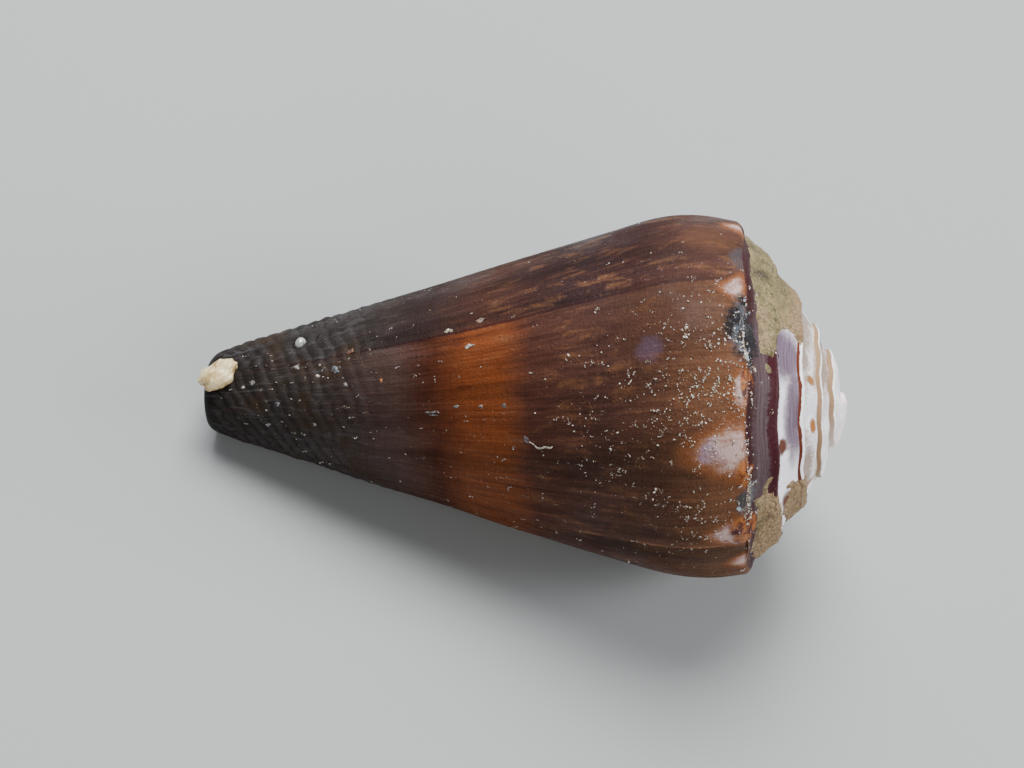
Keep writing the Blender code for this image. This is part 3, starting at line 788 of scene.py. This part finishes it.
# The cream growth: a chalky colony of small lobes that has settled on the rim of the narrow end,
# smooth and damp, with a few wet spots where the light catches it.
GROWTH_PLACE = 1.15 * MM
GROWTH_ANGLE = math.radians(94.0)
GROWTH_HALF = (1.40 * MM, 0.90 * MM, 0.68 * MM)
GROWTH_TURN = math.radians(38.0)
GROWTH_SEAT = 0.35
GROWTH_LIFT = 0.1 * MM
GROWTH_SUNK = 0.12 * MM
GROWTH_LOBES = ((0.06, 3, 0.6), (0.05, 5, 1.7), (0.035, 8, 4.1))  # height, number round it, shift


def round_weld(ids):
    """Which vertex each grid point shares: the first and last columns meet, and an end is one point."""
    weld = ids.copy()
    weld[:, -1] = ids[:, 0]
    weld[0], weld[-1] = ids[0, 0], ids[-1, 0]
    return weld.ravel()


def ball(rows, columns):
    """A closed ball's grid: unit directions, the weld of its poles and seam, and its triangles."""
    polar, round_it = np.meshgrid(np.linspace(0, np.pi, rows), np.linspace(0, 2 * np.pi, columns + 1),
                                  indexing="ij")
    ways = np.stack([np.sin(polar) * np.cos(round_it), np.sin(polar) * np.sin(round_it), np.cos(polar)], -1)
    ids = np.arange(polar.size).reshape(polar.shape)
    return ways.reshape(-1, 3), round_weld(ids), grid_triangles(ids, (0, columns), (0, rows - 1))


ways, growth_weld, growth_triangles = ball(120, 200)
x, y, z = ways.T
lobes = sum(high * np.sin(count * np.arctan2(y, x) + shift) for high, count, shift in GROWTH_LOBES)
size = 1.0 + lobes * np.hypot(x, y) + 0.035 * ripple(x * 5.0, y * 5.0 + z * 4.0, 12, 41)
size = size + 0.040 * ripple(x * 8.0, y * 6.5 + z * 5.0, 16, 43) + 0.010 * ripple(x * 24.0, y * 20.0, 16, 44)
growth_turn = (LIP_ANGLE - GROWTH_ANGLE) / (2.0 * math.pi)
growth_seat = side_point(growth_turn, GROWTH_PLACE / SIDE_LENGTH)[1]
growth_seat = growth_seat + GROWTH_SEAT * GROWTH_HALF[2] + GROWTH_LIFT
long_way, short_way = x * size * GROWTH_HALF[0], y * size * GROWTH_HALF[1]
growth_place = GROWTH_PLACE + long_way * math.cos(GROWTH_TURN) - short_way * math.sin(GROWTH_TURN)
aside = long_way * math.sin(GROWTH_TURN) + short_way * math.cos(GROWTH_TURN)
beneath = side_profile(np.maximum(growth_place - rim_recess(growth_turn), 0.0) / SIDE_LENGTH)
beneath = beneath * shoulder_radius(growth_turn) / side_profile(1.0) - GROWTH_SUNK
growth_radius = np.maximum(growth_seat + z * size * GROWTH_HALF[2], beneath)
growth_angle = GROWTH_ANGLE - aside / growth_seat
growth_points = np.stack([growth_place - LENGTH, growth_radius * np.cos(growth_angle),
                          growth_radius * np.sin(growth_angle)], -1) @ REST.T + APEX

growth_finish, net, shader = new_material("growth_cream", (0.72, 0.58, 0.30), 0.5,
                                          Coat_Weight=0.6, Coat_Roughness=0.08,
                                          Subsurface_Weight=0.15, Subsurface_Scale=0.4 * MM)
spot = net.put("ShaderNodeTexCoord").outputs["Object"]
mottle = net.noise(spot, 1400.0, 4.0, 0.6)
pits = net.specks(spot, 3600.0)
cream = net.ramp(mottle, [(0.36, (0.40, 0.26, 0.10)), (0.50, (0.66, 0.51, 0.25)), (0.68, (0.80, 0.69, 0.42))])
cream = net.mix(net.step(pits, 0.0, 0.22, 0.45, 0.0), cream, (0.40, 0.26, 0.12))
net.fill(shader.inputs["Base Color"], cream)
net.fill(shader.inputs["Roughness"], net.step(mottle, 0.35, 0.65, 0.28, 0.62))
net.bump(shader, 0.8, 0.09 * MM, net.plus(net.times(mottle, 0.7), net.times(pits, 0.5)))
growth_triangles = outward_order(growth_points[growth_weld], growth_triangles)
growth = mesh_piece("growth_cream", growth_points, growth_triangles, growth_finish, None, growth_weld)
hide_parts("tip_growth")

# The silt: fine olive and tan mud with sand in it, dried as a crust in the spire's steps. It is
# thickest in the corners between the turns and thins out over their edges.
RISER = 0.2  # what the step between two ramps counts for in a reach; a ramp counts for 1
CRUST_SUNK = 0.10 * MM
# name, turns, reaches over the ramps (0 at the last shoulder) of the lower edge at both ends and of
# the upper edge, height, cells, seed
CRUSTS = (
    ("silt_olive", (-0.130, -0.492), (-0.030, 0.62, 1.62), 0.17 * MM, (260, 90), 51),
    ("silt_brown", (-0.180, -0.440), (0.98, 1.10, 2.85), 0.12 * MM, (180, 90), 52),
    ("silt_lower", (-0.585, -0.900), (0.30, -0.15, 1.62), 0.20 * MM, (240, 90), 53),
    ("silt_low_tan", (-0.605, -0.880), (1.50, 1.50, 3.05), 0.14 * MM, (150, 80), 54),
)


def climb(turn, reach, lift=0.0):
    """Points over the ramps: from the last shoulder (reach 0) over ramp and step to earlier turns."""
    turn, reach = np.broadcast_arrays(np.asarray(turn, float), np.asarray(reach, float))
    whorl = np.floor(np.maximum(reach, 0.0) / (1.0 + RISER))
    local = reach - whorl * (1.0 + RISER)
    on_riser = local > 1.0
    across = np.where(on_riser, SUTURE_COVER * (1.0 + RISER - local) / RISER, -local)
    return skin(turn - whorl - on_riser, across, lift)


def crust(name, turn_span, reach_span, height, cells, seed, finish):
    """A slab on the ramps: lumpy above, sunk all round its ragged edge, closed underneath.
    Its height is the product of S curves from its four sides, less a threshold, plus ripples."""
    u, v = np.meshgrid(np.linspace(0, 1, cells[0] + 1), np.linspace(0, 1, cells[1] + 1), indexing="ij")
    turn = turn_span[0] + (turn_span[1] - turn_span[0]) * u
    low = reach_span[0] + (reach_span[1] - reach_span[0]) * u * u
    reach = low + (reach_span[2] - low) * v
    ragged = 0.17 * ripple(u * 20.0, v * 4.0, 14, seed) + 0.15 * ripple(u * 75.0, v * 14.0, 18, seed + 100)
    inside = smooth(u, 0.0, 0.24) * smooth(1.0 - u, 0.0, 0.18)
    inside = inside * smooth(v, 0.0, 0.34) * smooth(1.0 - v, 0.0, 0.34)
    rough = 0.5 + 0.26 * ripple(u * 120.0, v * 20.0, 20, seed + 1)
    rough = rough + 0.26 * ripple(u * 300.0, v * 52.0, 24, seed + 2)
    mound = smooth(inside + ragged, 0.12, 0.95)
    corner = np.exp(-(((reach % (1.0 + RISER)) - 1.0) / 0.22) ** 2)
    top_lift = height * (mound * (0.55 + 0.55 * rough + 0.5 * corner) - 0.25 * (1.0 - mound))
    rim = (u == 0) | (u == 1) | (v == 0) | (v == 1)
    top = climb(turn, reach, np.where(rim, -CRUST_SUNK, np.maximum(top_lift, -CRUST_SUNK)))
    under = climb(turn, reach, -1.6 * CRUST_SUNK)
    ids = np.arange(u.size).reshape(u.shape)
    below = ids + ids.size
    weld = np.concatenate([ids.ravel(), np.where(rim, ids, below).ravel()])
    triangles = np.concatenate([grid_triangles(ids, (0, cells[1]), (0, cells[0])),
                                grid_triangles(below, (0, cells[1]), (0, cells[0]), flip=True)])
    corner_only = np.concatenate([rim.ravel(), rim.ravel()])[triangles].all(axis=1)
    triangles = triangles[~corner_only]
    points = np.concatenate([top.reshape(-1, 3), under.reshape(-1, 3)])
    return mesh_piece(name, points, outward_order(points[weld], triangles), finish, None, weld)


silt_finish, net, shader = new_material("silt", (0.20, 0.15, 0.08), 0.85, Specular_IOR_Level=0.3)
spot = net.put("ShaderNodeTexCoord").outputs["Object"]
mud = net.noise(spot, 420.0, 5.0, 0.65)
grit = net.noise(spot, 3800.0, 3.0, 0.7)
grit_specks = net.specks(spot, 5200.0)
mud_colour = net.ramp(mud, [(0.30, (0.045, 0.036, 0.022)), (0.43, (0.130, 0.105, 0.046)),
                            (0.54, (0.195, 0.160, 0.072)), (0.64, (0.260, 0.180, 0.095)),
                            (0.74, (0.160, 0.150, 0.090))])
up_spire = net.put("ShaderNodeSeparateXYZ", {"Vector": spot}).outputs[0]
up_spire = net.plus(up_spire, net.times(net.minus(mud, 0.5), 4.0 * MM))
net.fill(shader.inputs["Base Color"], net.layers(
    mud_colour,
    (net.step(up_spire, 14.6 * MM, 16.0 * MM, 0.0, 0.8), (0.255, 0.160, 0.085)),
    (net.step(grit, 0.40, 0.66, 0.0, 0.55), (0.055, 0.042, 0.030)),
    (net.step(grit_specks, 0.10, 0.22, 0.6, 0.0), (0.55, 0.47, 0.33))))
net.fill(shader.inputs["Roughness"], net.step(grit, 0.35, 0.60, 0.45, 0.95))
net.fill(shader.inputs["Coat Weight"], net.step(grit_specks, 0.06, 0.20, 1.0, 0.0))
heaps = net.plus(net.times(grit, 0.7), net.times(net.minus(1.0, grit_specks), 0.5))
net.bump(shader, 1.0, 0.12 * MM, heaps)
for crust_values in CRUSTS:
    crust(*crust_values, silt_finish)

# The sand: quartz and shell grains of 0.03 to 0.25 mm that stuck while the shell was wet. Most
# lie in small heaps on the wide part of the body, and fewer on the spire and towards the tip.
GRAIN_SINK = 0.30
HEAPED_SHARE = 0.66
HEAP_GRAINS = 14
HEAP_SIZE = 0.17 * MM
# number, middle (turn, reach), spread of both, smallest and largest half size, seed
GRAIN_FIELDS = (
    (9000, (-0.530, -0.120), (0.060, 0.080), (0.013 * MM, 0.050 * MM), 61),
    (800, (-0.485, -0.030), (0.045, 0.035), (0.014 * MM, 0.060 * MM), 62),
    (3600, (-0.545, -0.300), (0.075, 0.140), (0.012 * MM, 0.042 * MM), 63),
    (1400, (-0.500, -0.600), (0.110, 0.220), (0.012 * MM, 0.036 * MM), 64),
    (1900, (-0.470, -0.800), (0.090, 0.090), (0.012 * MM, 0.040 * MM), 72),
    (3600, (-0.585, -0.110), (0.045, 0.070), (0.013 * MM, 0.046 * MM), 73),
    (900, (-0.505, 0.200), (0.050, 0.240), (0.016 * MM, 0.065 * MM), 65),
    (900, (-0.462, 0.050), (0.012, 0.160), (0.020 * MM, 0.085 * MM), 66),
    (700, (-0.610, 0.080), (0.012, 0.170), (0.020 * MM, 0.085 * MM), 67),
    (1100, (-0.360, 1.000), (0.090, 0.420), (0.016 * MM, 0.070 * MM), 68),
    (900, (-0.700, 0.900), (0.070, 0.500), (0.016 * MM, 0.070 * MM), 69),
    (800, (-0.200, -0.400), (0.300, 0.300), (0.014 * MM, 0.045 * MM), 70),
    (1000, (-0.750, -0.350), (0.300, 0.300), (0.014 * MM, 0.045 * MM), 71),
)
golden = (1.0 + math.sqrt(5.0)) / 2.0
rock_points = np.array([(s, t * golden, 0.0) for s in (-1, 1) for t in (-1, 1)])
rock_points = np.concatenate([rock_points, rock_points[:, [2, 0, 1]], rock_points[:, [1, 2, 0]]])
rock_points = rock_points / np.linalg.norm(rock_points, axis=1, keepdims=True)
LONGEST_EDGE = 1.2  # corners of a grain that are nearer than this are neighbours
gaps = np.linalg.norm(rock_points[:, None] - rock_points, axis=2)
rock_triangles = np.array([(i, j, k) for i in range(12) for j in range(i) for k in range(j)
                           if max(gaps[i, j], gaps[j, k], gaps[k, i]) < LONGEST_EDGE])
facing = np.cross(rock_points[rock_triangles[:, 1]] - rock_points[rock_triangles[:, 0]],
                  rock_points[rock_triangles[:, 2]] - rock_points[rock_triangles[:, 0]])
inward = np.einsum("ij,ij->i", facing, rock_points[rock_triangles[:, 0]]) < 0.0
rock_triangles[inward] = rock_triangles[inward][:, ::-1]


def gathered(rng, heaps, heaped):
    """Normal draws: the heap's own for a heaped grain, and its own for any other."""
    return np.where(heaped, rng.normal(size=len(heaps))[heaps], rng.normal(size=len(heaps)))


def grains(name, fields, finish):
    """Twenty-sided grains with random half sizes and turns, sunk a little into the surface. The
    heaped ones lie along short bowed lines, one line to a heap."""
    middles, tints = [], []
    for count, middle, spread, (small, large), seed in fields:
        rng = np.random.default_rng(seed)
        heaps = rng.integers(0, count // HEAP_GRAINS, count)
        heaped = rng.random(count) < HEAPED_SHARE
        turn = middle[0] + spread[0] * gathered(rng, heaps, heaped)
        reach = middle[1] + spread[1] * gathered(rng, heaps, heaped)
        way = rng.uniform(0.0, 6.28, count)[heaps]
        length = HEAP_SIZE * rng.uniform(0.2, 1.6, count)[heaps]
        along = rng.uniform(-1.0, 1.0, count)
        bow = rng.uniform(-0.8, 0.8, count)[heaps]
        aside = bow * along * along + 0.16 * rng.normal(size=count)
        per_reach = np.where(reach > 0.0, LAST_RAMP, SIDE_LENGTH)
        turn_shift = length * (along * np.cos(way) - aside * np.sin(way))
        turn = turn + heaped * turn_shift / (2.0 * np.pi * shoulder_radius(-0.5))
        reach = reach + heaped * length * (along * np.sin(way) + aside * np.cos(way)) / per_reach
        clumped = ripple(turn * 95.0, reach * 22.0, 16, seed + 5)
        clumped = clumped + 0.6 * ripple(turn * 260.0, reach * 60.0, 16, seed + 6)
        rarity = rng.uniform(-0.6, 1.4, count)
        kept = (reach > -0.97) & (turn < -0.02) & (turn > -0.98)
        kept = kept & (clumped > np.where(heaped, rarity[heaps], rarity))
        turn, reach = turn[kept], reach[kept]
        sizes = small + (large - small) * rng.random(len(turn)) ** np.where(heaped[kept], 1.1, 5.0)
        base = climb(turn, reach)
        up = climb(turn, reach, 0.2 * MM) - base
        up = up / np.linalg.norm(up, axis=1, keepdims=True)
        spin = np.linalg.qr(rng.normal(size=(len(turn), 3, 3)))[0]
        squash = rng.uniform(0.40, 1.30, (len(turn), 1, 3))
        shape = (rock_points[None] * squash * rng.uniform(0.8, 1.2, (len(turn), 12, 1))) @ spin
        middles.append(base[:, None] + up[:, None] * (sizes * (1.0 - GRAIN_SINK))[:, None, None] * 0.6
                       + shape * sizes[:, None, None])
        tints.append(np.repeat(rng.random(len(turn)), 12))
    points = np.concatenate(middles).reshape(-1, 3)
    triangles = (rock_triangles[None] + 12 * np.arange(len(points) // 12)[:, None, None]).reshape(-1, 3)
    made = mesh_piece(name, points, triangles, finish, tint=np.concatenate(tints))
    made.data.shade_flat()
    return made


sand_finish, net, shader = new_material("sand_grains", (0.5, 0.45, 0.36), 0.12, Specular_IOR_Level=0.8,
                                        Coat_Weight=0.5, Coat_Roughness=0.05)
tint = net.put("ShaderNodeAttribute", attribute_name="tint").outputs["Fac"]
sand_colour = net.ramp(tint, [(0.00, (0.05, 0.035, 0.025)), (0.25, (0.20, 0.13, 0.075)),
                              (0.55, (0.36, 0.30, 0.23)), (0.80, (0.52, 0.49, 0.44)),
                              (1.00, (0.85, 0.84, 0.82))])
net.fill(shader.inputs["Base Color"], sand_colour)
grains("sand", GRAIN_FIELDS, sand_finish)

# The settlers: a round pearly bead stuck near the narrow end, thin chalky flecks where small
# animals and algae have settled, and the fine white tube of a worm. All follow the shell's surface.
# turn, across, half spans in mm along the turn and towards the tip, height in mm, tint, seed
FLECKS = (
    (-0.414, 0.812, 0.20, 0.26, 0.06, 0.80, 81), (-0.440, 0.770, 0.14, 0.22, 0.05, 0.90, 82),
    (-0.433, 0.737, 0.30, 0.40, 0.05, 0.62, 83), (-0.462, 0.717, 0.17, 0.20, 0.05, 0.75, 84),
    (-0.440, 0.901, 0.17, 0.24, 0.06, 0.70, 85), (-0.452, 0.918, 0.14, 0.18, 0.05, 0.80, 86),
    (-0.497, 0.847, 0.16, 0.20, 0.05, 0.66, 87), (-0.556, 0.871, 0.15, 0.22, 0.05, 0.72, 88),
    (-0.541, 0.778, 0.16, 0.17, 0.05, 0.70, 89), (-0.401, 0.527, 0.20, 0.34, 0.05, 0.95, 90),
    (-0.429, 0.484, 0.18, 0.36, 0.06, 1.00, 91), (-0.503, 0.508, 0.15, 0.22, 0.05, 0.80, 92),
    (-0.504, 0.461, 0.13, 0.20, 0.05, 0.78, 93), (-0.504, 0.419, 0.14, 0.18, 0.05, 0.70, 94),
    (-0.510, 0.556, 0.07, 0.55, 0.03, 0.72, 95), (-0.514, 0.548, 0.06, 0.40, 0.03, 0.66, 96),
    (-0.394, 0.470, 0.30, 0.34, 0.04, 0.30, 97), (-0.459, 0.649, 0.16, 0.16, 0.06, 0.10, 98),
    (-0.401, 0.711, 0.36, 0.30, 0.05, 0.16, 99), (-0.542, 0.381, 0.30, 0.22, 0.05, 0.52, 100),
)
FLECK_SPREAD = 0.72  # the share of the half spans above that a fleck fills
FLECK_RISE = 0.7  # and of the height
FLECK_RAGGED = 0.34
BEAD = (-0.351, 0.813, 0.37, 0.42, 0.33, 101)  # as above, without a tint
BEAD_RAGGED = 0.03
TUBE_ENDS = ((-0.545, 0.377), (-0.548, 0.333))
TUBE_RADIUS = 0.065 * MM
TUBE_BOW = 0.0045
TUBE_WAVE = 0.07 * MM
TUBE_TINT = 0.98


def beside(turn, across, along, down, lift):
    """Points of the outside so far along the turn from a place and so far towards the tip, lifted."""
    around = 2.0 * np.pi * side_point(turn, 1.0 - across)[1]
    return skin(turn + along / around, across + down / SIDE_LENGTH, lift)


def settled(turn, across, half_along, half_down, height, seed, ragged, rows=12, columns=26):
    """A closed ball flattened on the surface, its half sizes times one plus ripples."""
    ways, weld, triangles = ball(rows, columns)
    x, y, z = ways.T
    size = 1.0 + ragged * ripple(x * 4.0, y * 4.0, 12, seed)
    size = size + 0.5 * ragged * ripple(x * 11.0, y * 11.0, 12, seed + 30)
    points = beside(turn, across, x * size * half_along * MM, y * size * half_down * MM, z * height * MM)
    return points, weld, outward_order(points[weld], triangles)


fleck_parts = []
for turn, across_place, half_along, half_down, height, tint_value, seed in FLECKS:
    halves = (FLECK_SPREAD * half_along, FLECK_SPREAD * half_down, FLECK_RISE * height)
    fleck_parts.append((*settled(turn, across_place, *halves, seed, FLECK_RAGGED), tint_value))

# the worm's tube: circles swept along a bowed line, narrowing to a point at both ends
along_tube, round_tube = np.meshgrid(np.linspace(0, 1, 61), np.linspace(0, 2 * np.pi, 11), indexing="ij")
swell = TUBE_RADIUS * np.sqrt(np.maximum(1.0 - (2.0 * along_tube - 1.0) ** 8, 0.0))
(near_turn, near_across), (far_turn, far_across) = TUBE_ENDS
tube_turn = near_turn + (far_turn - near_turn) * along_tube - TUBE_BOW * np.sin(np.pi * along_tube)
tube_across = near_across + (far_across - near_across) * along_tube
tube_wave = TUBE_WAVE * np.sin(along_tube * 12.0)
tube_points = beside(tube_turn, tube_across, tube_wave + swell * np.cos(round_tube), 0.0,
                     0.6 * TUBE_RADIUS + swell * np.sin(round_tube)).reshape(-1, 3)
tube_ids = np.arange(len(tube_points)).reshape(along_tube.shape)
tube_weld = round_weld(tube_ids)
tube_triangles = outward_order(tube_points[tube_weld], grid_triangles(tube_ids, (0, 10), (0, 60)))
fleck_parts.append((tube_points, tube_weld, tube_triangles, TUBE_TINT))

fleck_finish, net, shader = new_material("flecks", (0.5, 0.5, 0.48), 0.45, Specular_IOR_Level=0.5,
                                         Coat_Weight=0.3, Coat_Roughness=0.08)
tint = net.put("ShaderNodeAttribute", attribute_name="tint").outputs["Fac"]
spot = net.put("ShaderNodeTexCoord").outputs["Object"]
chalk = net.noise(spot, 4200.0, 4.0, 0.65)
fleck_colour = net.ramp(tint, [(0.08, (0.42, 0.13, 0.030)), (0.20, (0.20, 0.080, 0.035)),
                               (0.32, (0.26, 0.17, 0.10)), (0.50, (0.22, 0.18, 0.25)),
                               (0.62, (0.14, 0.17, 0.20)), (0.75, (0.24, 0.25, 0.25)),
                               (0.95, (0.52, 0.46, 0.34)), (1.00, (0.56, 0.54, 0.48))])
fleck_colour = net.mix(net.step(chalk, 0.44, 0.60, 0.88, 0.0), fleck_colour, (0.060, 0.042, 0.034))
net.fill(shader.inputs["Base Color"], fleck_colour)
net.bump(shader, 1.0, 0.08 * MM, chalk)
starts = np.cumsum([0] + [len(points) for points, _, _, _ in fleck_parts])
fleck_triangles = np.concatenate([part[2] + start for part, start in zip(fleck_parts, starts)])
fleck_weld = np.concatenate([part[1] + start for part, start in zip(fleck_parts, starts)])
fleck_tints = np.concatenate([np.full(len(part[0]), part[3]) for part in fleck_parts])
mesh_piece("flecks", np.concatenate([part[0] for part in fleck_parts]), fleck_triangles, fleck_finish,
           None, fleck_weld, tint=fleck_tints)

bead_finish, net, shader = new_material("bead_pearl", (0.42, 0.43, 0.42), 0.16, Coat_Weight=0.9,
                                        Coat_Roughness=0.04, Specular_IOR_Level=0.7)
spot = net.put("ShaderNodeTexCoord").outputs["Object"]
cloudy = net.noise(spot, 1500.0, 3.0, 0.6)
pearl = net.ramp(cloudy, [(0.36, (0.10, 0.09, 0.075)), (0.50, (0.26, 0.27, 0.26)), (0.64, (0.50, 0.51, 0.48))])
net.fill(shader.inputs["Base Color"], pearl)
bead_points, bead_weld, bead_triangles = settled(*BEAD, BEAD_RAGGED, 40, 64)
mesh_piece("bead", bead_points, bead_triangles, bead_finish, None, bead_weld)
